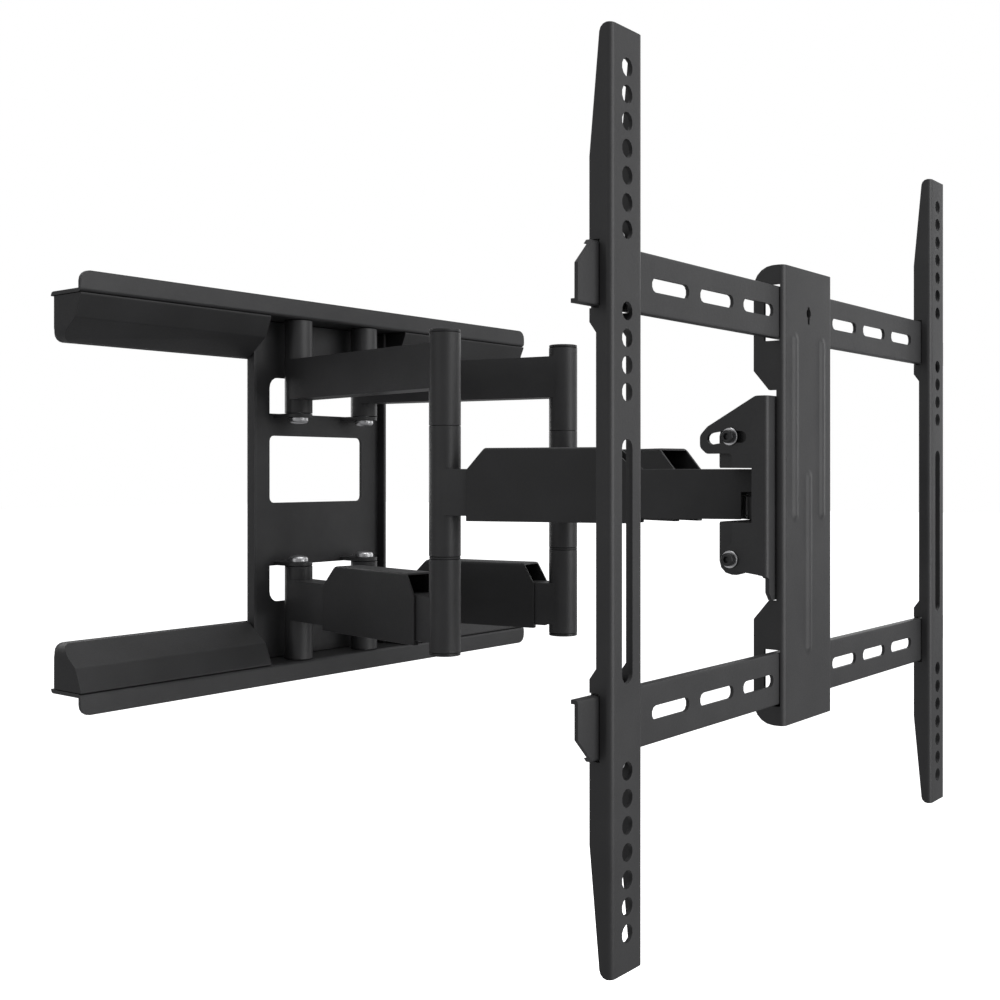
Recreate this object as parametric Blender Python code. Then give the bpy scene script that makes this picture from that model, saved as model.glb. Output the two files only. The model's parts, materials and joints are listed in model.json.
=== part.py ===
"""Full motion TV wall mount, modelled as separate pieces in its rest pose.

Frame: X along the wall, +Y into the wall, +Z up.  The origin is the middle of
the wall plate on the wall plane, so the wall is Y = 0 and the screen is on the
-Y side.  Driving dimensions are in millimetres and are scaled on creation.
"""
import bpy
import bmesh
import math
from mathutils import Matrix, Vector

MM = 0.001

# ------------------------------------------------------------------ dimensions
OBJECT = "full_motion_tv_wall_mount"
SCREEN_Y = -425.0            # plane the television's back rests on
CLEAR = 0.3                  # gap between touching pieces

# wall plate
RAIL_HALF = 228.0            # half length of the rails' webs
LIP_HALF = 230.5             # half length of the rails' front lips
SHEET = 2.5                  # rail and channel sheet
RAIL_IN = 98.0               # height where a rail's web starts
RAIL_FLANGE = 128.0          # underside of the rail's flange
RAIL_DEPTH = 33.5            # wall to front of lip
LIP_TOP = 142.0
WALL_COL_HALF = 70.5         # half width of the wall column
LAG_X = (101.6, 152.4, 203.2)

# arms
SHOULDER = (-35.0, -22.0)    # left shoulder pin axis
ELBOW = (-66.0, -196.3)      # left elbow pin axis
HUB = (0.0, -393.1)          # swivel axis, shared by both front arms
BAR_HALF = 10.0
KNUCKLE_R = 10.5
REAR_BAR = (68.0, 98.0)
FRONT_BAR = 15.0
PIN_R = 5.0
PIN_BORE = 5.3
SHOULDER_R = 4.0
SHOULDER_BORE = 4.3

# head
TILT_Z = -36.8               # tilt axis height
LOCK_Z = 33.5                # tilt lock bolt height
TILT_SLOT = (-5.5, 9.5)      # degrees either side of the lock bolt
TILT_HALF = 43.0             # half width of the tilt bracket
YOKE_HALF = 39.3
COL_HALF = 32.5
COL_TOP = 131.0

# television rails
BAR_Z = (89.0, 119.0)        # crossbar's edges
BAR_X = 230.0
BRACKET_X = 200.0            # television holes are 400 mm apart
BRACKET_TOP = 218.0
HOLE_R = 4.4
HOLE_PITCH = 12.5

REAR_LEN = math.hypot(ELBOW[0] - SHOULDER[0], ELBOW[1] - SHOULDER[1])
FRONT_LEN = math.hypot(HUB[0] - ELBOW[0], HUB[1] - ELBOW[1])


def B(depth):
    """Y of a plane a given depth behind the screen plane."""
    return SCREEN_Y + depth


# ------------------------------------------------------------------ scene setup
for _ob in list(bpy.data.objects):
    bpy.data.objects.remove(_ob, do_unlink=True)
for _co in list(bpy.data.collections):
    bpy.data.collections.remove(_co)

PARTS = bpy.data.collections.new(OBJECT)
CUTTERS = bpy.data.collections.new("cutters")
bpy.context.scene.collection.children.link(PARTS)
bpy.context.scene.collection.children.link(CUTTERS)


# ------------------------------------------------------------------ outlines
def circle(u, v, r, n=16):
    return [(u + r * math.cos(2 * math.pi * (i + 0.5) / n),
             v + r * math.sin(2 * math.pi * (i + 0.5) / n)) for i in range(n)]


def stadium(u0, v0, u1, v1, r, n=6):
    """Slot outline round the segment (u0, v0)-(u1, v1)."""
    a = math.atan2(v1 - v0, u1 - u0)
    pts = []
    for i in range(n + 1):
        t = a - math.pi / 2 + math.pi * i / n
        pts.append((u1 + r * math.cos(t), v1 + r * math.sin(t)))
    for i in range(n + 1):
        t = a + math.pi / 2 + math.pi * i / n
        pts.append((u0 + r * math.cos(t), v0 + r * math.sin(t)))
    return pts


def arc(u, v, r, a0, a1, n):
    return [(u + r * math.cos(math.radians(a0 + (a1 - a0) * i / n)),
             v + r * math.sin(math.radians(a0 + (a1 - a0) * i / n))) for i in range(n + 1)]


def rounded(points, radii, n=3):
    """Polygon with the listed corners rounded: radii maps index to radius."""
    out = []
    count = len(points)
    for i, p in enumerate(points):
        r = radii.get(i, 0.0)
        if r <= 0:
            out.append(p)
            continue
        a = Vector(points[i - 1]) - Vector(p)
        b = Vector(points[(i + 1) % count]) - Vector(p)
        a.normalize()
        b.normalize()
        half = math.acos(max(-1.0, min(1.0, a.dot(b)))) / 2
        cut = r / math.tan(half)
        centre = Vector(p) + (a + b).normalized() * (r / math.sin(half))
        s = Vector(p) + a * cut - centre
        e = Vector(p) + b * cut - centre
        t0 = math.atan2(s.y, s.x)
        dt = math.atan2(e.y, e.x) - t0
        while dt > math.pi:
            dt -= 2 * math.pi
        while dt < -math.pi:
            dt += 2 * math.pi
        for k in range(n + 1):
            t = t0 + dt * k / n
            out.append((centre.x + r * math.cos(t), centre.y + r * math.sin(t)))
    return out


def rect(u0, v0, u1, v1):
    return [(u0, v0), (u1, v0), (u1, v1), (u0, v1)]


# ------------------------------------------------------------------ solids
PLANES = {
    "XY": Matrix.Identity(4),
    "XZ": Matrix.Rotation(math.radians(90), 4, "X"),
    "YZ": Matrix(((0, 0, 1, 0), (1, 0, 0, 0), (0, 1, 0, 0), (0, 0, 0, 1))),
}


def tidy(mesh):
    bm = bmesh.new()
    bm.from_mesh(mesh)
    bmesh.ops.remove_doubles(bm, verts=bm.verts, dist=0.000001)
    bmesh.ops.recalc_face_normals(bm, faces=bm.faces)
    bm.to_mesh(mesh)
    bm.free()
    return mesh


def prism(loops, lo, hi, plane="XY"):
    """Flat outline, inner loops being holes, extruded between two planes."""
    if isinstance(loops[0][0], (int, float)):
        loops = [loops]
    curve = bpy.data.curves.new("outline", "CURVE")
    curve.dimensions = "2D"
    curve.fill_mode = "BOTH"
    curve.extrude = abs(hi - lo) / 2 * MM
    for loop in loops:
        spline = curve.splines.new("POLY")
        spline.points.add(len(loop) - 1)
        for point, (u, v) in zip(spline.points, loop):
            point.co = (u * MM, v * MM, 0.0, 1.0)
        spline.use_cyclic_u = True
    ob = bpy.data.objects.new("outline", curve)
    CUTTERS.objects.link(ob)
    graph = bpy.context.evaluated_depsgraph_get()
    mesh = bpy.data.meshes.new_from_object(ob.evaluated_get(graph))
    bpy.data.objects.remove(ob)
    bpy.data.curves.remove(curve)
    mid = (lo + hi) / 2 * MM
    shift = {"XY": (0, 0, mid), "XZ": (0, mid, 0), "YZ": (mid, 0, 0)}[plane]
    mesh.transform(Matrix.Translation(shift) @ PLANES[plane])
    return tidy(mesh)


def rod(centre, r, lo, hi, axis="Z", n=20):
    """Cylinder along an axis; centre holds the two other coordinates."""
    bm = bmesh.new()
    bmesh.ops.create_cone(bm, cap_ends=True, segments=n, radius1=r * MM, radius2=r * MM,
                          depth=abs(hi - lo) * MM)
    mesh = bpy.data.meshes.new("rod")
    bm.to_mesh(mesh)
    bm.free()
    mid = (lo + hi) / 2
    turn = Matrix.Rotation(math.pi / n, 4, "Z")
    if axis == "Z":
        place = Matrix.Translation((centre[0] * MM, centre[1] * MM, mid * MM))
    elif axis == "Y":
        place = Matrix.Translation((centre[0] * MM, mid * MM, centre[1] * MM)) @ PLANES["XZ"]
    else:
        place = Matrix.Translation((mid * MM, centre[0] * MM, centre[1] * MM)) @ PLANES["YZ"]
    mesh.transform(place @ turn)
    return tidy(mesh)


def tube(centre, r_in, r_out, lo, hi, axis="Z", n=20):
    """Ring between two radii."""
    plane = {"Z": "XY", "Y": "XZ", "X": "YZ"}[axis]
    return prism([circle(centre[0], centre[1], r_out, n), circle(centre[0], centre[1], r_in, n)],
                 lo, hi, plane)


def box(x0, x1, y0, y1, z0, z1):
    bm = bmesh.new()
    bmesh.ops.create_cube(bm, size=1.0)
    mesh = bpy.data.meshes.new("box")
    bm.to_mesh(mesh)
    bm.free()
    size = Matrix.Diagonal((abs(x1 - x0) * MM, abs(y1 - y0) * MM, abs(z1 - z0) * MM, 1.0))
    mesh.transform(Matrix.Translation(((x0 + x1) / 2 * MM, (y0 + y1) / 2 * MM,
                                       (z0 + z1) / 2 * MM)) @ size)
    return mesh


def group(*meshes):
    """Several separate solids in one mesh."""
    bm = bmesh.new()
    for mesh in meshes:
        bm.from_mesh(mesh)
    out = bpy.data.meshes.new("group")
    bm.to_mesh(out)
    bm.free()
    return out


def moved(mesh, matrix):
    out = mesh.copy()
    out.transform(matrix)
    if matrix.determinant() < 0:
        out.flip_normals()
    return out


MIRROR_X = Matrix.Diagonal((-1.0, 1.0, 1.0, 1.0))
MIRROR_Z = Matrix.Diagonal((1.0, 1.0, -1.0, 1.0))


def recipe(base, add=(), keep=(), cut=()):
    """A base solid, what is joined to it, what it is trimmed to, what is cut."""
    return {"base": base, "add": list(add), "keep": list(keep), "cut": list(cut)}


def flipped(spec, matrix):
    return {"base": moved(spec["base"], matrix),
            "add": [moved(m, matrix) for m in spec["add"]],
            "keep": [moved(m, matrix) for m in spec["keep"]],
            "cut": [moved(m, matrix) for m in spec["cut"]]}


# ------------------------------------------------------------------ materials
def material(name, colour, roughness, metallic):
    mat = bpy.data.materials.new(name)
    mat.use_nodes = True
    shader = next(n for n in mat.node_tree.nodes if n.type == "BSDF_PRINCIPLED")
    shader.inputs["Base Color"].default_value = (*colour, 1.0)
    shader.inputs["Roughness"].default_value = roughness
    shader.inputs["Metallic"].default_value = metallic
    mat.diffuse_color = (*colour, 1.0)
    return mat


FINISH = {
    "steel": ((0.030, 0.030, 0.031), 0.45, 0.0),
    "plastic": ((0.020, 0.020, 0.021), 0.50, 0.0),
    "zinc": ((0.62, 0.62, 0.63), 0.25, 1.0),
    "black_bolt": ((0.018, 0.018, 0.019), 0.35, 0.6),
    "nylon": ((0.05, 0.05, 0.05), 0.55, 0.0),
}

EMPTIES = {}


def body(name, pivot):
    """Empty on a body's joint axis; the body's pieces hang from it."""
    empty = bpy.data.objects.new("axis_" + name, None)
    empty.empty_display_size = 0.03
    empty.location = Vector(pivot) * MM
    PARTS.objects.link(empty)
    EMPTIES[name] = empty
    return empty


def piece(name, spec, finish, on, smooth=True):
    """Make one named object from a recipe, on a body."""
    if not isinstance(spec, dict):
        spec = recipe(spec)
    empty = EMPTIES[on]
    mesh = spec["base"].copy()
    mesh.name = name
    mesh.transform(Matrix.Translation(-empty.location))
    ob = bpy.data.objects.new(name, mesh)
    PARTS.objects.link(ob)
    ob.parent = empty
    colour, roughness, metallic = FINISH[finish]
    mesh.materials.clear()
    mesh.materials.append(material(name + "_finish", colour, roughness, metallic))
    for kind, operation in (("add", "UNION"), ("keep", "INTERSECT"), ("cut", "DIFFERENCE")):
        for i, tool in enumerate(spec[kind]):
            cutter = bpy.data.objects.new("%s_%s_%d" % (name, kind, i + 1), tool)
            CUTTERS.objects.link(cutter)
            cutter.hide_render = True
            cutter.display_type = "WIRE"
            mod = ob.modifiers.new("%s_%d" % (kind, i + 1), "BOOLEAN")
            mod.operation = operation
            mod.solver = "EXACT"
            mod.object = cutter
    if smooth:
        mesh.shade_smooth()
        mesh.set_sharp_from_angle(angle=math.radians(32))
    return ob


body("wall", (0, 0, 0))
body("rear_arm_left", (SHOULDER[0], SHOULDER[1], 0))
body("rear_arm_right", (-SHOULDER[0], SHOULDER[1], 0))
body("front_arm_left", (ELBOW[0], ELBOW[1], 0))
body("front_arm_right", (-ELBOW[0], ELBOW[1], 0))
body("hub", (HUB[0], HUB[1], 0))
body("swivel", (HUB[0], HUB[1], 0))
body("head", (0, HUB[1], TILT_Z))
body("bracket_left", (-BRACKET_X, SCREEN_Y, 0))
body("bracket_right", (BRACKET_X, SCREEN_Y, 0))

# ------------------------------------------------------------------ wall plate
# Rail section, drawn as (Y, Z): web on the wall, flange forward, lip upward.
rail_section = rounded(
    [(0, RAIL_IN - 4), (0, RAIL_FLANGE + SHEET), (-(RAIL_DEPTH - SHEET), RAIL_FLANGE + SHEET),
     (-(RAIL_DEPTH - SHEET), LIP_TOP + 4), (-RAIL_DEPTH, LIP_TOP + 4), (-RAIL_DEPTH, RAIL_FLANGE),
     (-SHEET, RAIL_FLANGE), (-SHEET, RAIL_IN - 4)],
    {1: 2.5, 5: 2.5})
rail_front = rounded(
    [(-RAIL_HALF, RAIL_IN), (RAIL_HALF, RAIL_IN), (RAIL_HALF, RAIL_FLANGE - 0.4),
     (LIP_HALF, RAIL_FLANGE - 0.4), (LIP_HALF, LIP_TOP), (-LIP_HALF, LIP_TOP),
     (-LIP_HALF, RAIL_FLANGE - 0.4), (-RAIL_HALF, RAIL_FLANGE - 0.4)],
    {0: 6, 1: 6, 4: 7, 5: 7}, n=4)
lag_slots = [stadium(s * x - 10.5, 113, s * x + 10.5, 113, 4.5, 5)
             for s in (-1, 1) for x in LAG_X]
rail_top = recipe(
    prism(rail_section, -LIP_HALF - 4, LIP_HALF + 4, "YZ"),
    keep=[prism([rail_front] + lag_slots, -40, 6, "XZ")],
    cut=[group(*[rod((s * SHOULDER[0], SHOULDER[1]), SHOULDER_BORE, 125, 133, "Z", 12)
                 for s in (-1, 1)])])
piece("wall_rail_top", rail_top, "steel", "wall")
piece("wall_rail_bottom", flipped(rail_top, MIRROR_Z), "steel", "wall")

# Column: shallow channel open to the front, drawn as (X, Y).
W = WALL_COL_HALF
column_section = rounded(
    [(-W, -2.8), (W, -2.8), (W, -12.5), (W - SHEET, -12.5), (W - SHEET, -5.3),
     (-W + SHEET, -5.3), (-W + SHEET, -12.5), (-W, -12.5)], {0: 3.0, 1: 3.0})
TAB = (54.6, 57.4)


def tab(x):
    y = SHOULDER[1]
    edge = arc(x, y, 10.5, 180, 360, 10)
    return prism([[(x - 10.5, -4.0)] + edge + [(x + 10.5, -4.0)], circle(x, y, SHOULDER_BORE, 12)],
                 TAB[0], TAB[1], "XY")


upper_opening = rounded([(-49, 57.8), (49, 57.8), (49, 85.2), (-49, 85.2)], {2: 8, 3: 8}, n=4)
tabs = [tab(s * SHOULDER[0]) for s in (-1, 1)]
piece("wall_column", recipe(
    prism(column_section, -127.5, 127.5, "XY"),
    add=[group(*(tabs + [moved(t, MIRROR_Z) for t in tabs]))],
    cut=[group(prism(rounded(rect(-49, -10, 49, 41), {0: 4, 1: 4, 2: 4, 3: 4}), -9, 0, "XZ"),
               prism(upper_opening, -9, 0, "XZ"),
               moved(prism(upper_opening, -9, 0, "XZ"), MIRROR_Z))]),
    "steel", "wall")

# Rail covers: hollow wedges that hide the lag bolts, open at the back.
C0, C1 = 71.8, 230.2
cover_outer = [(-2.8, 98.3), (-8.5, 98.3), (-27.0, 112.0), (-33.2, 126.2), (-33.2, 127.7),
               (-2.8, 127.7)]
cover_inner = [(-1.0, 100.3), (-7.9, 100.3), (-25.4, 113.4), (-30.6, 125.7), (-1.0, 125.7)]
cover_front = [(C0 - 5, 98.0), (C1 - 9.0, 98.0)] + arc(C1 - 9.0, 107.0, 9.0, -90, 0, 5)[1:] + [
    (C1, 135), (C0 - 5, 135)]
cover = recipe(prism(rounded(cover_outer, {2: 3.0}), C0, C1, "YZ"),
               keep=[prism(cover_front, -40, 6, "XZ")],
               cut=[prism(cover_inner, C0 + 2, C1 - 4.8, "YZ")])
piece("rail_cover_top_right", cover, "plastic", "wall")
piece("rail_cover_top_left", flipped(cover, MIRROR_X), "plastic", "wall")
cover_low = flipped(cover, MIRROR_Z)
piece("rail_cover_bottom_right", cover_low, "plastic", "wall")
piece("rail_cover_bottom_left", flipped(cover_low, MIRROR_X), "plastic", "wall")

# Shoulder pins run from a head under each tab up through the rail's flange,
# where the end is riveted over.
for s, side in ((-1, "right"), (1, "left")):
    at = (s * SHOULDER[0], SHOULDER[1])
    up = recipe(rod(at, SHOULDER_R, 52.0, 133.0, "Z", 12),
                add=[rod(at, 7.3, 50.0, 54.3, "Z", 16), rod(at, 6.8, 130.8, 134.6, "Z", 12)])
    piece("shoulder_pin_upper_" + side, up, "zinc", "wall")
    piece("shoulder_pin_lower_" + side, flipped(up, MIRROR_Z), "zinc", "wall")


# ------------------------------------------------------------------ arms
def along(start, end):
    """Local frame of an arm: +X runs from start to end."""
    a = math.atan2(end[1] - start[1], end[0] - start[0])
    return Matrix.Translation((start[0] * MM, start[1] * MM, 0)) @ Matrix.Rotation(a, 4, "Z")


REAR = along(SHOULDER, ELBOW)
FRONT = along(ELBOW, HUB)

lo, hi = REAR_BAR
rear_bar = recipe(
    moved(prism(rect(2.0, -BAR_HALF, REAR_LEN - 2.0, BAR_HALF), lo, hi, "XY"), REAR),
    add=[rod(SHOULDER, KNUCKLE_R, 57.9, 127.5, "Z", 20), rod(ELBOW, KNUCKLE_R, 43.7, 104.2, "Z", 20)],
    cut=[group(rod(SHOULDER, SHOULDER_BORE, 50, 135, "Z", 12), rod(ELBOW, PIN_BORE, 35, 110, "Z", 12))])


def cover_section(bottom, top):
    """Inverted U clipped over a bar, drawn as (across, up)."""
    o, i, k = 11.7, 10.3, 7.5
    return rounded([(-o, bottom), (-k, bottom), (-k, bottom + 2.7), (-i, bottom + 2.7),
                    (-i, top - 1.4), (i, top - 1.4), (i, bottom + 2.7), (k, bottom + 2.7),
                    (k, bottom), (o, bottom), (o, top), (-o, top)], {10: 1.8, 11: 1.8}, n=2)


rear_cover = recipe(
    moved(prism(cover_section(-101.3, -54.0), 44, 164, "YZ"), REAR),
    keep=[moved(prism([(50, -105), (158.5, -105), (158.5, -68.5), (148.0, -50.0), (70.0, -50.0),
                       (50, -69.5)], -16, 16, "XZ"), REAR)])

front_outline = ([(2.0, -BAR_HALF)]
                 + arc(FRONT_LEN, 0, 12.0, -123.56, 123.56, 16)
                 + [(2.0, BAR_HALF)])


def front_arm(bore, lift):
    """Front bar with a half-thickness tongue; the stepped end clears its twin.

    The knuckle is longer on the side away from the thrust washer; lift is +1
    when that side is up before any flip.
    """
    step = [(FRONT_LEN - 12.5, -15), (FRONT_LEN - 12.5, -10), (FRONT_LEN - 14.5, -4),
            (FRONT_LEN - 41.0, 10), (FRONT_LEN - 50.5, 15), (FRONT_LEN + 20, 15),
            (FRONT_LEN + 20, -15)]
    return recipe(
        moved(prism(front_outline, -FRONT_BAR, FRONT_BAR, "XY"), FRONT),
        add=[rod(ELBOW, KNUCKLE_R, -42.55 + lift * 0.85, 42.55 + lift * 0.85, "Z", 20)],
        cut=[moved(prism(step, -20.0, 1.2, "XY"), FRONT),
             group(rod(ELBOW, PIN_BORE, -50, 50, "Z", 12), rod(HUB, bore, -5, 20, "Z", 16))])


front_cover = recipe(
    moved(prism(cover_section(-18.3, 28.7), 12, 150, "YZ"), FRONT),
    keep=[moved(prism([(19.3, -25), (FRONT_LEN - 69, -25), (FRONT_LEN - 69, 14.5),
                       (FRONT_LEN - 88, 31.7), (34.5, 31.7), (19.3, 14.5)], -16, 16, "XZ"), FRONT)])

# The elbow pin's flat head closes the post below, a plastic cap closes it above.
elbow_pin = recipe(rod(ELBOW, PIN_R, -105.5, 104.0, "Z", 12),
                   add=[rod(ELBOW, 10.3, -106.5, -104.5, "Z", 24)])
cap = rod(ELBOW, 10.3, 104.5, 106.5, "Z", 20)
washer = tube(ELBOW, PIN_BORE, 10.3, -43.4, -42.0, "Z", 16)

for side, mirror in (("left", Matrix.Identity(4)), ("right", MIRROR_X)):
    rear, front = "rear_arm_" + side, "front_arm_" + side
    piece("rear_arm_upper_" + side, flipped(rear_bar, mirror), "steel", rear)
    piece("rear_arm_lower_" + side, flipped(rear_bar, mirror @ MIRROR_Z), "steel", rear)
    piece("cable_cover_rear_" + side, flipped(rear_cover, mirror), "plastic", rear)
    piece("elbow_pin_" + side, flipped(elbow_pin, mirror), "black_bolt", rear)
    piece("elbow_cap_" + side, moved(cap, mirror), "plastic", rear)
    piece("elbow_washer_" + side, moved(washer, mirror), "nylon", rear)
    piece("cable_cover_front_" + side, flipped(front_cover, mirror), "plastic", front)

# The left tongue lies above the right one.  The right one's bore is larger: the
# closed linkage is opened there.
piece("front_arm_left", front_arm(PIN_BORE, 1), "steel", "front_arm_left")
piece("front_arm_right", flipped(front_arm(7.5, -1), MIRROR_X @ MIRROR_Z), "steel",
      "front_arm_right")

piece("hub_pin", recipe(rod(HUB, PIN_R, -26.0, 21.0, "Z", 16), add=[rod(HUB, 9.0, 18.9, 23.5, "Z", 16)]),
      "zinc", "hub")
piece("hub_nut", tube(HUB, PIN_BORE, 9.0, -23.5, -18.9, "Z", 12), "zinc", "hub")
piece("hub_washer", tube(HUB, PIN_BORE, 11.0, -0.9, 0.9, "Z", 16), "nylon", "hub")

# ------------------------------------------------------------------ swivel yoke
yoke_section = rounded(
    [(B(16.8), -18.6), (B(44.5), -18.6), (B(44.5), -15.6), (B(19.3), -15.6), (B(19.3), 15.6),
     (B(44.5), 15.6), (B(44.5), 18.6), (B(16.8), 18.6)], {0: 2.5, 7: 2.5})
yoke_plan = rounded([(-50, B(10)), (50, B(10)), (50, B(44)), (-50, B(44))], {2: 22, 3: 22}, n=4)
cheek_up = prism([rounded([(B(22), 16.2), (B(41), 16.2), (B(41), 42), (B(22), 42)], {2: 8, 3: 8}),
                  circle(B(31.9), LOCK_Z, 3.3, 12)], 36.8, YOKE_HALF, "YZ")
cheek_dn = prism([rounded([(B(22), -16.2), (B(22), -46), (B(41), -46), (B(41), -16.2)], {1: 8, 2: 8}),
                  circle(B(31.9), TILT_Z, 3.3, 12)], 36.8, YOKE_HALF, "YZ")
cheeks = group(cheek_up, cheek_dn)
weld_nuts = group(*[tube((B(31.9), z), 3.3, 5.6, 31.5, 37.2, "X", 12) for z in (TILT_Z, LOCK_Z)])
piece("swivel_yoke", recipe(
    prism(yoke_section, -YOKE_HALF + 0.4, YOKE_HALF - 0.4, "YZ"),
    keep=[prism(yoke_plan, -30, 30, "XY")],
    cut=[rod(HUB, PIN_BORE, -30, 30, "Z", 16)]), "steel", "swivel")
# Cheeks and their weld nuts are joined after the plan trim, so that the cheeks'
# outer faces stay flat.
yoke = bpy.data.objects["swivel_yoke"]
for label, tool in (("cheeks", cheeks), ("weld_nuts", weld_nuts)):
    helper = bpy.data.objects.new("swivel_yoke_" + label, group(tool, moved(tool, MIRROR_X)))
    CUTTERS.objects.link(helper)
    helper.hide_render = True
    helper.display_type = "WIRE"
    join = yoke.modifiers.new(label, "BOOLEAN")
    join.operation = "UNION"
    join.solver = "EXACT"
    join.object = helper

for z, name in ((TILT_Z, "pivot"), (LOCK_Z, "lock")):
    at = (B(31.9), z)
    bolt = recipe(rod(at, 3.0, 34.0, 46.0, "X", 12), add=[rod(at, 3.8, 44.8, 48.0, "X", 16)])
    ring = tube(at, 3.2, 5.0, 43.3, 44.5, "X", 16)
    piece("tilt_%s_bolt_right" % name, bolt, "black_bolt", "swivel")
    piece("tilt_%s_bolt_left" % name, flipped(bolt, MIRROR_X), "black_bolt", "swivel")
    piece("tilt_%s_washer_right" % name, ring, "zinc", "swivel")
    piece("tilt_%s_washer_left" % name, moved(ring, MIRROR_X), "zinc", "swivel")

# ------------------------------------------------------------------ tilt bracket
T = TILT_HALF
tilt_section = rounded(
    [(-T, B(9)), (T, B(9)), (T, B(56)), (T - SHEET, B(56)), (T - SHEET, B(11.5)),
     (-T + SHEET, B(11.5)), (-T + SHEET, B(56)), (-T, B(56))], {0: 3.0, 1: 3.0})
tilt_side = rounded(
    [(B(5), 56.4), (B(16.2), 56.4), (B(47), 39.5), (B(51.8), 34.5), (B(51.8), 27.5),
     (B(47.5), 23.8), (B(31), 23.8), (B(31), -27.0), (B(35.0), -31.0), (B(37.0), -36.8),
     (B(35.0), -41.5), (B(31.5), -43.0), (B(15), -45.0), (B(12.3), -45.6), (B(12.3), -70),
     (B(5), -70)],
    {1: 5, 2: 5, 3: 4, 4: 4, 5: 3, 6: 2, 8: 3, 9: 3, 10: 3, 12: 3})
tilt_front = [(-50, 60), (-50, -45.2), (-T, -45.2), (-40, -47.2), (-40, -55), (-36.4, -59.4), (36.4, -59.4),
              (40, -55), (40, -47.2), (T, -45.2), (50, -45.2), (50, 60)]
R_LOCK = LOCK_Z - TILT_Z


def on_lock_arc(r, deg):
    a = math.radians(deg)
    return (B(31.9) + r * math.sin(a), TILT_Z + r * math.cos(a))


def lock_slot(width):
    """Curved slot about the tilt axis, drawn as (Y, Z)."""
    a0, a1 = TILT_SLOT
    pts = [on_lock_arc(R_LOCK + width, a0 + (a1 - a0) * i / 6) for i in range(7)]
    cu, cv = on_lock_arc(R_LOCK, a1)
    base = 90 - a1
    pts += arc(cu, cv, width, base, base - 180, 6)[1:-1]
    pts += [on_lock_arc(R_LOCK - width, a1 + (a0 - a1) * i / 6) for i in range(7)]
    cu, cv = on_lock_arc(R_LOCK, a0)
    base = 270 - a0
    pts += arc(cu, cv, width, base, base - 180, 6)[1:-1]
    return pts


piece("tilt_bracket", recipe(
    prism(tilt_section, -72, 62, "XY"),
    keep=[prism([tilt_side, lock_slot(3.4), circle(B(31.9), TILT_Z, 3.3, 12)], -52, 52, "YZ"),
          prism([tilt_front] + [circle(sx * 20, sz * 35, 3.3, 12) for sx in (-1, 1) for sz in (-1, 1)],
                B(0), B(60), "XZ")],
    cut=[box(-52, 52, B(18.5), B(45), -15.7, 15.7)]), "steel", "head")

# ------------------------------------------------------------------ centre column
K = COL_HALF
col_section = rounded(
    [(-K, B(3.8)), (K, B(3.8)), (K, B(26)), (K - 2.3, B(26)), (K - 2.3, B(6.1)), (-K + 2.3, B(6.1)),
     (-K + 2.3, B(26)), (-K, B(26))], {0: 3.5, 1: 3.5})
col_side = rounded(
    [(B(0), -COL_TOP), (B(22.7), -COL_TOP), (B(22.7), -71.2), (B(13.1), -59.9), (B(8.5), -59.9),
     (B(8.5), 59.9), (B(13.1), 59.9), (B(22.7), 71.2), (B(22.7), COL_TOP), (B(0), COL_TOP)],
    {1: 12, 8: 12}, n=5)
beads = group(prism(stadium(-18, -11, -18, 89, 3.4), B(2.7), B(4.6), "XZ"),
              prism(stadium(18, -11, 18, 89, 3.4), B(2.7), B(4.6), "XZ"),
              prism(stadium(0, -89, 0, 10, 3.4), B(2.7), B(4.6), "XZ"))


def keyhole(z, r, w, low, high):
    """Screw hole with a narrow slot through it, drawn as (X, Z) at X = 0."""
    a = math.degrees(math.acos(w / r))
    return ([(-w, low), (w, low)] + arc(0, z, r, -a, a, 6) + [(w, high), (-w, high)]
            + arc(0, z, r, 180 - a, 180 + a, 6))


window = [(B(6.35), 88.0), (B(16.0), 88.0), (B(16.0), 120.0), (B(6.35), 120.0)]
piece("center_column", recipe(
    prism(col_section, -COL_TOP - 5, COL_TOP + 5, "XY"),
    keep=[prism(col_side, -40, 40, "YZ")],
    add=[beads],
    cut=[group(prism(window, -45, 45, "YZ"), moved(prism(window, -45, 45, "YZ"), MIRROR_Z)),
         prism(keyhole(105.8, 2.9, 1.2, 99.6, 109.6), B(0), B(10), "XZ")]), "steel", "head")

for sx, side in ((-1, "left"), (1, "right")):
    for sz, level in ((-1, "lower"), (1, "upper")):
        at = (sx * 20, sz * 35)
        piece("column_bolt_%s_%s" % (level, side),
              recipe(rod(at, 3.0, B(6.4), B(16.0), "Y", 14), add=[rod(at, 5.0, B(11.8), B(14.5), "Y", 12)]),
              "zinc", "head")

# ------------------------------------------------------------------ crossbars
z0, z1 = BAR_Z
bar_section = rounded(
    [(B(6.7), z0), (B(10.7), z0), (B(10.7), z0 + 2), (B(8.7), z0 + 2), (B(8.7), z1 - 2),
     (B(10.7), z1 - 2), (B(10.7), z1), (B(6.7), z1)], {0: 1.5, 7: 1.5}, n=2)
bar_front = [(-BAR_X, z0 - 5), (BAR_X, z0 - 5), (BAR_X, z1 - 12), (BAR_X - 17, z1 + 5),
             (-BAR_X + 17, z1 + 5), (-BAR_X, z1 - 12)]
bar_slots = [stadium(s * x - 14.25, 104, s * x + 14.25, 104, 3.5, 5)
             for s in (-1, 1) for x in (57.0, 103.5, 150.0)]
bar_holes = [circle(0, 104, 3.0, 12)]
crossbar = recipe(prism(bar_section, -BAR_X - 5, BAR_X + 5, "YZ"),
                  keep=[prism([bar_front] + bar_slots + bar_holes, B(0), B(20), "XZ")])
piece("crossbar_top", crossbar, "steel", "head")
piece("crossbar_bottom", flipped(crossbar, MIRROR_Z), "steel", "head")
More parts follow.
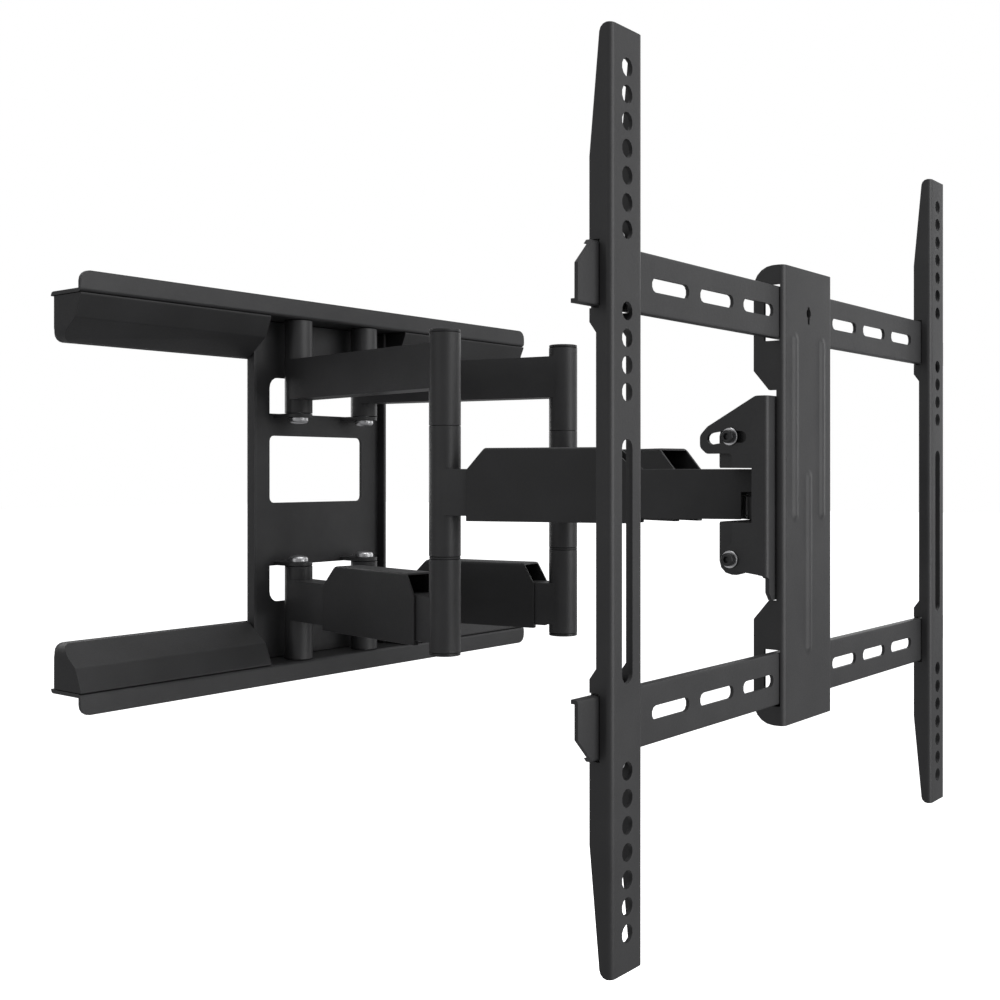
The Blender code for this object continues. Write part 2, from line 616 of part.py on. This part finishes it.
bar_screw = recipe(rod((0, 104), 2.7, B(6.4), B(10.5), "Y", 12),
                   add=[rod((0, 104), 5.5, B(9.0), B(11.8), "Y", 16)])
piece("crossbar_screw_top", bar_screw, "zinc", "head")
piece("crossbar_screw_bottom", flipped(bar_screw, MIRROR_Z), "zinc", "head")

# ------------------------------------------------------------------ television brackets
X = -BRACKET_X
tv_section = rounded(
    [(X - 13.5, B(0)), (X + 13.5, B(0)), (X + 13.5, B(15)), (X + 11.5, B(15)), (X + 11.5, B(2)),
     (X - 11.5, B(2)), (X - 11.5, B(15)), (X - 13.5, B(15))], {0: 3.0, 1: 3.0})
half_side = [(B(8.3), 77.0), (B(12.0), 82.0), (B(12.0), 88.3), (B(6.3), 88.3), (B(6.3), 119.7),
             (B(12.0), 119.7), (B(12.0), 158.0), (B(6.2), BRACKET_TOP)]
tv_side = rounded(
    [(B(-4), -BRACKET_TOP)] + [(u, -v) for u, v in reversed(half_side)] + half_side
    + [(B(-4), BRACKET_TOP)], {1: 4.0, 16: 4.0}, n=3)
tv_holes = [circle(X, s * (125 + HOLE_PITCH * i), HOLE_R, 12) for s in (-1, 1) for i in range(7)]
tv_holes += [circle(X, 50 + HOLE_PITCH * i, HOLE_R, 12) for i in range(4)]
tv_holes += [stadium(X, -84.6 + HOLE_R, X, 28.4 - HOLE_R, HOLE_R, 7)]
tv_bracket = recipe(prism(tv_section, -BRACKET_TOP - 5, BRACKET_TOP + 5, "XY"),
                    keep=[prism(tv_side, X - 18, X + 18, "YZ")],
                    cut=[prism(tv_holes, B(-3), B(4.5), "XZ")])
# Each clamp plate hooks behind the crossbar and is drawn up by one screw.
CLAMP_Z = (84.0, 127.0)
SCREW_Z = 122.2
clamp = prism([rounded(rect(X - 11.2, CLAMP_Z[0], X + 11.2, CLAMP_Z[1]), {0: 2, 1: 2, 2: 2, 3: 2}, n=2),
               circle(X, SCREW_Z, 2.3, 12)], B(11.1), B(12.8), "XZ")
clamp_screw = recipe(rod((X, SCREW_Z), 2.0, B(2.3), B(14.0), "Y", 12),
                     add=[rod((X, SCREW_Z), 3.4, B(13.1), B(15.3), "Y", 16)])
for side, mirror in (("left", Matrix.Identity(4)), ("right", MIRROR_X)):
    on = "bracket_" + side
    piece("tv_bracket_" + side, flipped(tv_bracket, mirror), "steel", on)
    for level, tip in (("upper", mirror), ("lower", mirror @ MIRROR_Z)):
        piece("bracket_clamp_%s_%s" % (level, side), moved(clamp, tip), "steel", on)
        piece("clamp_screw_%s_%s" % (level, side), flipped(clamp_screw, tip), "zinc", on)

# helper meshes that no object uses any more
for _me in list(bpy.data.meshes):
    if _me.users == 0:
        bpy.data.meshes.remove(_me)
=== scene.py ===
"""Looks of the full motion TV wall mount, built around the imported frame."""

import json
import math
import bpy
import bmesh
from mathutils import Matrix, Vector


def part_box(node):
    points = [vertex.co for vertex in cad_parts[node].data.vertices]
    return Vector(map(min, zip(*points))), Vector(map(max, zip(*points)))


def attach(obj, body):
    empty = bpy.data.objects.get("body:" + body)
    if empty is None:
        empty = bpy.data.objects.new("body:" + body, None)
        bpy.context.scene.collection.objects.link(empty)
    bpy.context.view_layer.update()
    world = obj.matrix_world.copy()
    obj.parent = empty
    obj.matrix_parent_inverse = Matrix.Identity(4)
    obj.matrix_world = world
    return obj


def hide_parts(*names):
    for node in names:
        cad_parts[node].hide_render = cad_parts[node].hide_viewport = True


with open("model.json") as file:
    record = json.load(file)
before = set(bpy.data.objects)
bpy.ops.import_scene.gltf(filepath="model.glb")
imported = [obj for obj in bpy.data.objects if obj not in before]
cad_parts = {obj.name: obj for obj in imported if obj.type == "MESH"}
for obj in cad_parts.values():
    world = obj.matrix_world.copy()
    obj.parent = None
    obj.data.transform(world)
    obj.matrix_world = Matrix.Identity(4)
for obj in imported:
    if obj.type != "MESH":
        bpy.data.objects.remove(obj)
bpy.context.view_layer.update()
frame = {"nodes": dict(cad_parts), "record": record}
BODY_OF = {n: b for b, ns in frame["record"]["behaviour"]["bodies"].items() for n in ns}
SLOT_OF = {s["node"]: s["material_slot"] for s in frame["record"]["subparts"]}


# ------------------------------------------------------------------ materials
def node_material(name):
    mat = bpy.data.materials.new(name)
    mat.use_nodes = True
    tree = mat.node_tree
    shader = next(n for n in tree.nodes if n.type == "BSDF_PRINCIPLED")
    coords = tree.nodes.new("ShaderNodeTexCoord")
    return mat, tree, shader, coords


def noise(tree, coords, scale, detail=2.0, rough=0.5):
    n = tree.nodes.new("ShaderNodeTexNoise")
    n.inputs["Scale"].default_value = scale
    n.inputs["Detail"].default_value = detail
    n.inputs["Roughness"].default_value = rough
    tree.links.new(coords.outputs["Object"], n.inputs["Vector"])
    return n


def ramp(tree, source, lo, hi, a, b):
    """Map a 0-1 signal onto a pair of values or colours."""
    r = tree.nodes.new("ShaderNodeValToRGB")
    r.color_ramp.elements[0].position = lo
    r.color_ramp.elements[1].position = hi
    r.color_ramp.elements[0].color = (*a, 1) if isinstance(a, tuple) else (a, a, a, 1)
    r.color_ramp.elements[1].color = (*b, 1) if isinstance(b, tuple) else (b, b, b, 1)
    tree.links.new(source, r.inputs["Fac"])
    return r


def bump(tree, layers):
    """Chain of bumps; each layer is (height socket, strength, distance)."""
    last = None
    for height, strength, distance in layers:
        b = tree.nodes.new("ShaderNodeBump")
        b.inputs["Strength"].default_value = strength
        b.inputs["Distance"].default_value = distance
        tree.links.new(height, b.inputs["Height"])
        if last is not None:
            tree.links.new(last.outputs["Normal"], b.inputs["Normal"])
        last = b
    return last


def powder_coat(name, dark, light, rough):
    """Fine orange-peel powder coat on steel."""
    mat, tree, shader, coords = node_material(name)
    patch = noise(tree, coords, 38.0, 3.0, 0.55)
    grain = noise(tree, coords, 1500.0, 2.0, 0.6)
    peel = noise(tree, coords, 420.0, 2.0, 0.5)
    col = ramp(tree, patch.outputs["Fac"], 0.35, 0.70, dark, light)
    tree.links.new(col.outputs["Color"], shader.inputs["Base Color"])
    rr = ramp(tree, grain.outputs["Fac"], 0.25, 0.75, rough - 0.05, rough + 0.07)
    tree.links.new(rr.outputs["Color"], shader.inputs["Roughness"])
    normal = bump(tree, [(peel.outputs["Fac"], 0.16, 0.0003), (grain.outputs["Fac"], 0.22, 0.00012)])
    tree.links.new(normal.outputs["Normal"], shader.inputs["Normal"])
    shader.inputs["Specular IOR Level"].default_value = 0.5
    return mat


def moulded(name, dark, light, rough, grain_scale):
    """Fine spark-eroded texture of a moulded plastic."""
    mat, tree, shader, coords = node_material(name)
    patch = noise(tree, coords, 25.0, 2.0, 0.5)
    grain = noise(tree, coords, grain_scale, 3.0, 0.65)
    col = ramp(tree, patch.outputs["Fac"], 0.35, 0.70, dark, light)
    tree.links.new(col.outputs["Color"], shader.inputs["Base Color"])
    rr = ramp(tree, grain.outputs["Fac"], 0.25, 0.75, rough - 0.06, rough + 0.08)
    tree.links.new(rr.outputs["Color"], shader.inputs["Roughness"])
    normal = bump(tree, [(grain.outputs["Fac"], 0.30, 0.00015)])
    tree.links.new(normal.outputs["Normal"], shader.inputs["Normal"])
    shader.inputs["Specular IOR Level"].default_value = 0.42
    return mat


def plated(name, dark, light, rough, metallic):
    """Zinc plate or black oxide, with a faint turned grain."""
    mat, tree, shader, coords = node_material(name)
    patch = noise(tree, coords, 140.0, 3.0, 0.6)
    grain = noise(tree, coords, 2200.0, 2.0, 0.6)
    col = ramp(tree, patch.outputs["Fac"], 0.30, 0.75, dark, light)
    tree.links.new(col.outputs["Color"], shader.inputs["Base Color"])
    rr = ramp(tree, patch.outputs["Fac"], 0.30, 0.75, rough - 0.05, rough + 0.08)
    tree.links.new(rr.outputs["Color"], shader.inputs["Roughness"])
    normal = bump(tree, [(grain.outputs["Fac"], 0.15, 0.00008)])
    tree.links.new(normal.outputs["Normal"], shader.inputs["Normal"])
    shader.inputs["Metallic"].default_value = metallic
    return mat


MATS = {
    "powder_coated_steel": powder_coat("powder_coated_steel", (0.021, 0.021, 0.022),
                                       (0.027, 0.027, 0.028), 0.46),
    "black_plastic": moulded("black_plastic", (0.016, 0.016, 0.0165), (0.021, 0.021, 0.022), 0.50,
                             900.0),
    "zinc_hardware": plated("zinc_hardware", (0.50, 0.50, 0.51), (0.68, 0.68, 0.69), 0.32, 1.0),
    "black_hardware": plated("black_hardware", (0.010, 0.010, 0.011), (0.020, 0.020, 0.021), 0.36,
                             0.0),
    "nylon": moulded("nylon", (0.020, 0.020, 0.021), (0.028, 0.028, 0.029), 0.55, 1200.0),
}


# ------------------------------------------------------------------ meshes
def clean_copy(node, flatten=None):
    """A welded copy of a CAD solid's mesh with its flats made single faces."""
    bm = bmesh.new()
    bm.from_mesh(frame["nodes"][node].data)
    if flatten is not None:
        for v in bm.verts:
            v.co.y = max(v.co.y, flatten)
    bmesh.ops.remove_doubles(bm, verts=bm.verts, dist=0.00001)
    bmesh.ops.recalc_face_normals(bm, faces=bm.faces)
    bmesh.ops.dissolve_limit(bm, angle_limit=math.radians(0.6), use_dissolve_boundaries=False,
                             verts=bm.verts, edges=bm.edges)
    mesh = bpy.data.meshes.new("look_" + node)
    bm.to_mesh(mesh)
    bm.free()
    return mesh


def finish_piece(name, mesh, body, slot, nodes, width, segments=2, angle=38):
    """Soften a mesh's edges, give it its material and let it ride."""
    ob = bpy.data.objects.new(name, mesh)
    bpy.context.scene.collection.objects.link(ob)
    mesh.materials.clear()
    mesh.materials.append(MATS[slot])
    if width > 0:
        bev = ob.modifiers.new("edges", "BEVEL")
        bev.width = width
        bev.segments = segments
        bev.limit_method = "ANGLE"
        bev.angle_limit = math.radians(angle)
        bev.use_clamp_overlap = True
        bev.harden_normals = False
        graph = bpy.context.evaluated_depsgraph_get()
        out = bpy.data.meshes.new_from_object(ob.evaluated_get(graph))
        ob.modifiers.clear()
        ob.data = out
        out.name = name
    ob.data.shade_smooth()
    ob.data.set_sharp_from_angle(angle=math.radians(40))
    weighted = ob.modifiers.new("weighted", "WEIGHTED_NORMAL")
    weighted.keep_sharp = True
    graph = bpy.context.evaluated_depsgraph_get()
    out = bpy.data.meshes.new_from_object(ob.evaluated_get(graph))
    ob.modifiers.clear()
    ob.data = out
    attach(ob, body)
    if nodes:
        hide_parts(*nodes)
    return ob


WIDTH = {"powder_coated_steel": 0.00040, "black_plastic": 0.00035, "zinc_hardware": 0.00035,
         "black_hardware": 0.0004, "nylon": 0.0002}


# ------------------------------------------------------------------ hardware
def turned(profile, n=40):
    """Closed solid of revolution about Z; the profile runs (radius, height), axis to axis."""
    bm = bmesh.new()
    rings = []
    for r, z in profile:
        if r < 1e-7:
            rings.append([bm.verts.new((0, 0, z))])
        else:
            rings.append([bm.verts.new((r * math.cos(2 * math.pi * i / n),
                                        r * math.sin(2 * math.pi * i / n), z)) for i in range(n)])
    for a, b in zip(rings, rings[1:]):
        for i in range(n):
            j = (i + 1) % n
            if len(a) == 1:
                bm.faces.new((a[0], b[i], b[j]))
            elif len(b) == 1:
                bm.faces.new((a[i], b[0], a[j]))
            else:
                bm.faces.new((a[i], b[i], b[j], a[j]))
    bmesh.ops.recalc_face_normals(bm, faces=bm.faces)
    mesh = bpy.data.meshes.new("turned")
    bm.to_mesh(mesh)
    bm.free()
    return mesh


def cone(r, depth, n, z):
    bm = bmesh.new()
    bmesh.ops.create_cone(bm, cap_ends=True, segments=n, radius1=r, radius2=r, depth=depth,
                          matrix=Matrix.Translation((0, 0, z)))
    mesh = bpy.data.meshes.new("cutter")
    bm.to_mesh(mesh)
    bm.free()
    return mesh


def cross(width, length, depth, z):
    """Cross recess cutter: two crossed bars."""
    bm = bmesh.new()
    for turn in (0, math.pi / 2):
        m = (Matrix.Translation((0, 0, z)) @ Matrix.Rotation(turn, 4, "Z")
             @ Matrix.Diagonal((length, width, depth, 1)))
        bmesh.ops.create_cube(bm, size=1.0, matrix=m)
    mesh = bpy.data.meshes.new("cross")
    bm.to_mesh(mesh)
    bm.free()
    return mesh


def cut(mesh, cutter, self_cut=False):
    a = bpy.data.objects.new("a", mesh)
    b = bpy.data.objects.new("b", cutter)
    for o in (a, b):
        bpy.context.scene.collection.objects.link(o)
    mod = a.modifiers.new("cut", "BOOLEAN")
    mod.operation = "DIFFERENCE"
    mod.solver = "EXACT"
    mod.use_self = self_cut
    mod.object = b
    graph = bpy.context.evaluated_depsgraph_get()
    out = bpy.data.meshes.new_from_object(a.evaluated_get(graph))
    for o in (a, b):
        bpy.data.objects.remove(o)
    return out


def centre(node):
    lo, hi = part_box(node)
    return (lo + hi) / 2, lo, hi


def place(mesh, origin, axis):
    """Turn a mesh made along +Z so that +Z points along axis, then move it."""
    turn = Vector((0, 0, 1)).rotation_difference(Vector(axis)).to_matrix().to_4x4()
    mesh.transform(Matrix.Translation(origin) @ turn)
    return mesh


def socket_bolt(head_r, head_h, shank_r, shank_l, socket_r, dome=0.0007):
    """Button-head bolt with a hexagon socket; the head's underside is z = 0."""
    profile = [(0, -shank_l), (shank_r - 0.0003, -shank_l), (shank_r, -shank_l + 0.0003),
               (shank_r, 0), (head_r, 0), (head_r, head_h - dome * 1.3)]
    for i in range(1, 6):
        t = i / 5 * math.pi / 2
        profile.append((head_r - dome * 1.3 * (1 - math.cos(t)), head_h - dome * 1.3 * (1 - math.sin(t))))
    profile.append((0, head_h))
    return cut(turned(profile), cone(socket_r, head_h * 1.1, 6, head_h))


done = set()

for level in ("pivot", "lock"):
    for side, sign in (("left", -1), ("right", 1)):
        node = "tilt_%s_bolt_%s" % (level, side)
        c, lo, hi = centre(node)
        outer = lo.x if sign < 0 else hi.x
        under = Vector((outer - sign * 0.0032, c.y, c.z))
        mesh = place(socket_bolt(0.0038, 0.0032, 0.0030, 0.0105, 0.0021), under, (sign, 0, 0))
        finish_piece("look_" + node, mesh, "swivel", "black_hardware", [node], 0.0)
        done.add(node)
        node = "tilt_%s_washer_%s" % (level, side)
        c, lo, hi = centre(node)
        ring = turned([(0.0032, -0.0006), (0.0048, -0.0006), (0.0050, -0.0004), (0.0050, 0.0004),
                       (0.0048, 0.0006), (0.0032, 0.0006), (0.0032, -0.0006)], 48)
        finish_piece("look_" + node, place(ring, c, (sign, 0, 0)), "swivel", "zinc_hardware", [node],
                     0.0)
        done.add(node)

for level, up in (("upper", 1), ("lower", -1)):
    for side in ("left", "right"):
        node = "clamp_screw_%s_%s" % (level, side)
        c, lo, hi = centre(node)
        head = turned([(0, -0.0106), (0.0017, -0.0106), (0.0020, -0.0103), (0.0020, 0), (0.0034, 0),
                       (0.0034, 0.0009), (0.0030, 0.0016), (0.0020, 0.0020), (0, 0.0022)])
        head = cut(head, cross(0.0008, 0.0036, 0.0016, 0.0021), True)
        finish_piece("look_" + node, place(head, (c.x, hi.y - 0.0022, c.z), (0, 1, 0)),
                     BODY_OF[node], "zinc_hardware", [node], 0.0)
        done.add(node)

for node in ("crossbar_screw_top", "crossbar_screw_bottom"):
    c, lo, hi = centre(node)
    head = turned([(0, -0.0024), (0.0027, -0.0024), (0.0027, 0), (0.0055, 0), (0.0055, 0.0010),
                   (0.0049, 0.0020), (0.0034, 0.0026), (0, 0.0028)])
    head = cut(head, cross(0.0012, 0.0060, 0.0022, 0.0027), True)
    finish_piece("look_" + node, place(head, (c.x, hi.y - 0.0028, c.z), (0, 1, 0)), "head",
                 "zinc_hardware", [node], 0.0)
    done.add(node)

for sx in ("left", "right"):
    for sz in ("upper", "lower"):
        node = "column_bolt_%s_%s" % (sz, sx)
        c, lo, hi = centre(node)
        nut = cone(0.0052, 0.0027, 6, 0.00135)
        stud = cone(0.0029, 0.0096, 32, 0.0)
        for mesh, name, y in ((nut, "look_" + node, lo.y + 0.0054), (stud, "look_stud_%s_%s" % (sz, sx),
                                                                   (lo.y + hi.y) / 2)):
            first = name == "look_" + node
            finish_piece(name, place(mesh, (c.x, y, c.z), (0, 1, 0)), "head", "zinc_hardware",
                         [node] if first else [], 0.0003)
        done.add(node)

# swivel pin and nut
c, lo, hi = centre("hub_pin")
top = hi.z
profile = [(0, lo.z), (0.0045, lo.z), (0.0050, lo.z + 0.0005), (0.0050, top - 0.0046),
           (0.0090, top - 0.0046), (0.0090, top - 0.0010), (0.0082, top - 0.0002), (0, top)]
pin = turned(profile)
pin = cut(pin, cone(0.0040, 0.005, 6, top))
pin.transform(Matrix.Translation((c.x, c.y, 0)))
finish_piece("look_hub_pin", pin, "hub", "zinc_hardware", ["hub_pin"], 0.0)
c, lo, hi = centre("hub_nut")
nut = cut(cone(0.0090, hi.z - lo.z, 6, 0.0), cone(0.0053, 0.02, 32, 0.0))
nut.transform(Matrix.Translation(c))
finish_piece("look_hub_nut", nut, "hub", "zinc_hardware", ["hub_nut"], 0.0003)
done.update(("hub_pin", "hub_nut"))

# shoulder pins: domed heads under the tabs, riveted ends above the flange
for level, up in (("upper", 1), ("lower", -1)):
    for side in ("left", "right"):
        node = "shoulder_pin_%s_%s" % (level, side)
        c, lo, hi = centre(node)
        length = hi.z - lo.z
        profile = [(0, 0), (0.0030, 0.0), (0.0058, 0.0005), (0.0069, 0.0013), (0.0073, 0.0024),
                   (0.0073, 0.0043), (0.0040, 0.0043), (0.0040, length - 0.0038),
                   (0.0068, length - 0.0038), (0.0068, length - 0.0022), (0.0058, length - 0.0008),
                   (0.0030, length), (0, length)]
        mesh = turned(profile)
        base = (c.x, c.y, lo.z if up > 0 else hi.z)
        finish_piece("look_" + node, place(mesh, base, (0, 0, up)), "wall", "zinc_hardware", [node],
                     0.0)
        done.add(node)

# ------------------------------------------------------------------ column beads
BEADS = ((-0.018, -0.011, 0.089), (0.018, -0.011, 0.089), (0.0, -0.089, 0.010))
BEAD_R = 0.0052
column_lo, column_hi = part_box("center_column")
FACE_Y = column_lo.y + 0.0011


def bead(x, z0, z1, rings=8, n=14):
    """Soft pressed ridge: rings spread out from a spine, closed under the face."""
    bm = bmesh.new()
    previous = None
    for k in range(rings + 1):
        t = max(k / rings, 0.05)
        height = 0.00105 * math.cos(t * math.pi / 2) ** 2
        ring = []
        for z, start in ((z1, 0.0), (z0, math.pi)):
            for i in range(n + 1):
                a = start + math.pi * i / n
                ring.append(bm.verts.new((x + BEAD_R * t * math.cos(a), FACE_Y - height,
                                          z + BEAD_R * t * math.sin(a))))
        if previous is None:
            bm.faces.new(ring)
        else:
            for i in range(len(ring)):
                j = (i + 1) % len(ring)
                bm.faces.new((previous[i], previous[j], ring[j], ring[i]))
        previous = ring
    base = [bm.verts.new((v.co.x, FACE_Y + 0.0005, v.co.z)) for v in previous]
    for i in range(len(base)):
        j = (i + 1) % len(base)
        bm.faces.new((previous[i], previous[j], base[j], base[i]))
    bm.faces.new(base)
    bmesh.ops.recalc_face_normals(bm, faces=bm.faces)
    mesh = bpy.data.meshes.new("bead")
    bm.to_mesh(mesh)
    bm.free()
    return mesh


for i, (x, z0, z1) in enumerate(BEADS, 1):
    ridge = finish_piece("look_column_bead_%d" % i, bead(x, z0, z1), "head", "powder_coated_steel",
                         [], 0.0)

# every other CAD solid keeps its shape, with softened edges
for node in sorted(frame["nodes"]):
    if node in done:
        continue
    slot = SLOT_OF[node]
    mesh = clean_copy(node, FACE_Y if node == "center_column" else None)
    if node == "cable_cover_front_left":
        # this cover stops a little shorter of the swivel than its twin
        elbow, hub_at = Vector((-0.066, -0.1963, 0.0)), Vector((0.0, -0.3931, 0.0))
        run = (hub_at - elbow).normalized()
        for v in mesh.vertices:
            if (v.co - elbow).dot(run) > 0.1:
                v.co -= run * 0.008
    finish_piece("look_" + node, mesh, BODY_OF[node], slot, [node], WIDTH[slot])

# ------------------------------------------------------------------ stage
floor_mesh = bpy.data.meshes.new("floor")
bm = bmesh.new()
bmesh.ops.create_grid(bm, x_segments=2, y_segments=2, size=30.0,
                      matrix=Matrix.Translation((0, 0, -0.95)))
bm.to_mesh(floor_mesh)
bm.free()
floor = bpy.data.objects.new("floor", floor_mesh)
bpy.context.scene.collection.objects.link(floor)
mat, tree, shader, coords = node_material("floor_white")
tint = noise(tree, coords, 3.0, 2.0, 0.5)
col = ramp(tree, tint.outputs["Fac"], 0.3, 0.7, (0.93, 0.93, 0.93), (0.95, 0.95, 0.95))
tree.links.new(col.outputs["Color"], shader.inputs["Base Color"])
shader.inputs["Roughness"].default_value = 0.9
shader.inputs["Emission Color"].default_value = (1, 1, 1, 1)
shader.inputs["Emission Strength"].default_value = 1.0
floor_mesh.materials.append(mat)
floor.visible_diffuse = False
floor.visible_glossy = False

world = bpy.data.worlds.new("studio")
bpy.context.scene.world = world
world.use_nodes = True
wt = world.node_tree
background = next(n for n in wt.nodes if n.type == "BACKGROUND")
light_path = wt.nodes.new("ShaderNodeLightPath")
mix = wt.nodes.new("ShaderNodeMix")
mix.data_type = "RGBA"
mix.inputs[6].default_value = (0.35, 0.35, 0.355, 1)
mix.inputs[7].default_value = (1.0, 1.0, 1.0, 1)
wt.links.new(light_path.outputs["Is Camera Ray"], mix.inputs["Factor"])
wt.links.new(mix.outputs[2], background.inputs["Color"])
background.inputs["Strength"].default_value = 1.0


def softbox(name, at, target, size, power):
    light = bpy.data.lights.new(name, "AREA")
    light.shape = "SQUARE"
    light.size = size
    light.energy = power
    ob = bpy.data.objects.new(name, light)
    bpy.context.scene.collection.objects.link(ob)
    ob.location = at
    ob.rotation_euler = (Vector(target) - Vector(at)).to_track_quat("-Z", "Y").to_euler()
    return ob


softbox("key", (0.35, -2.6, 0.35), (0, -0.25, 0), 2.2, 42)
softbox("top", (0.1, -0.6, 2.2), (0, -0.25, 0), 1.8, 32)
softbox("left", (-2.4, 0.3, 0.5), (0, -0.25, 0), 1.6, 3.5)

softbox("back", (0.6, 2.6, 0.7), (0, -0.2, 0), 2.0, 30)
softbox("right", (2.6, -0.2, 0.6), (0, -0.2, 0), 1.8, 12)

camera_data = bpy.data.cameras.new("camera")
camera_data.sensor_width = 36.0
camera_data.lens = 46.116
camera_data.shift_y = -0.0271
camera_data.clip_start = 0.02
camera_data.clip_end = 100.0
camera = bpy.data.objects.new("camera", camera_data)
bpy.context.scene.collection.objects.link(camera)
camera.location = (-0.6985, -0.7485, 0.0127)
camera.rotation_euler = (math.radians(90), 0, math.radians(-51.34))
bpy.context.scene.camera = camera
bpy.context.scene.view_settings.view_transform = "Standard"
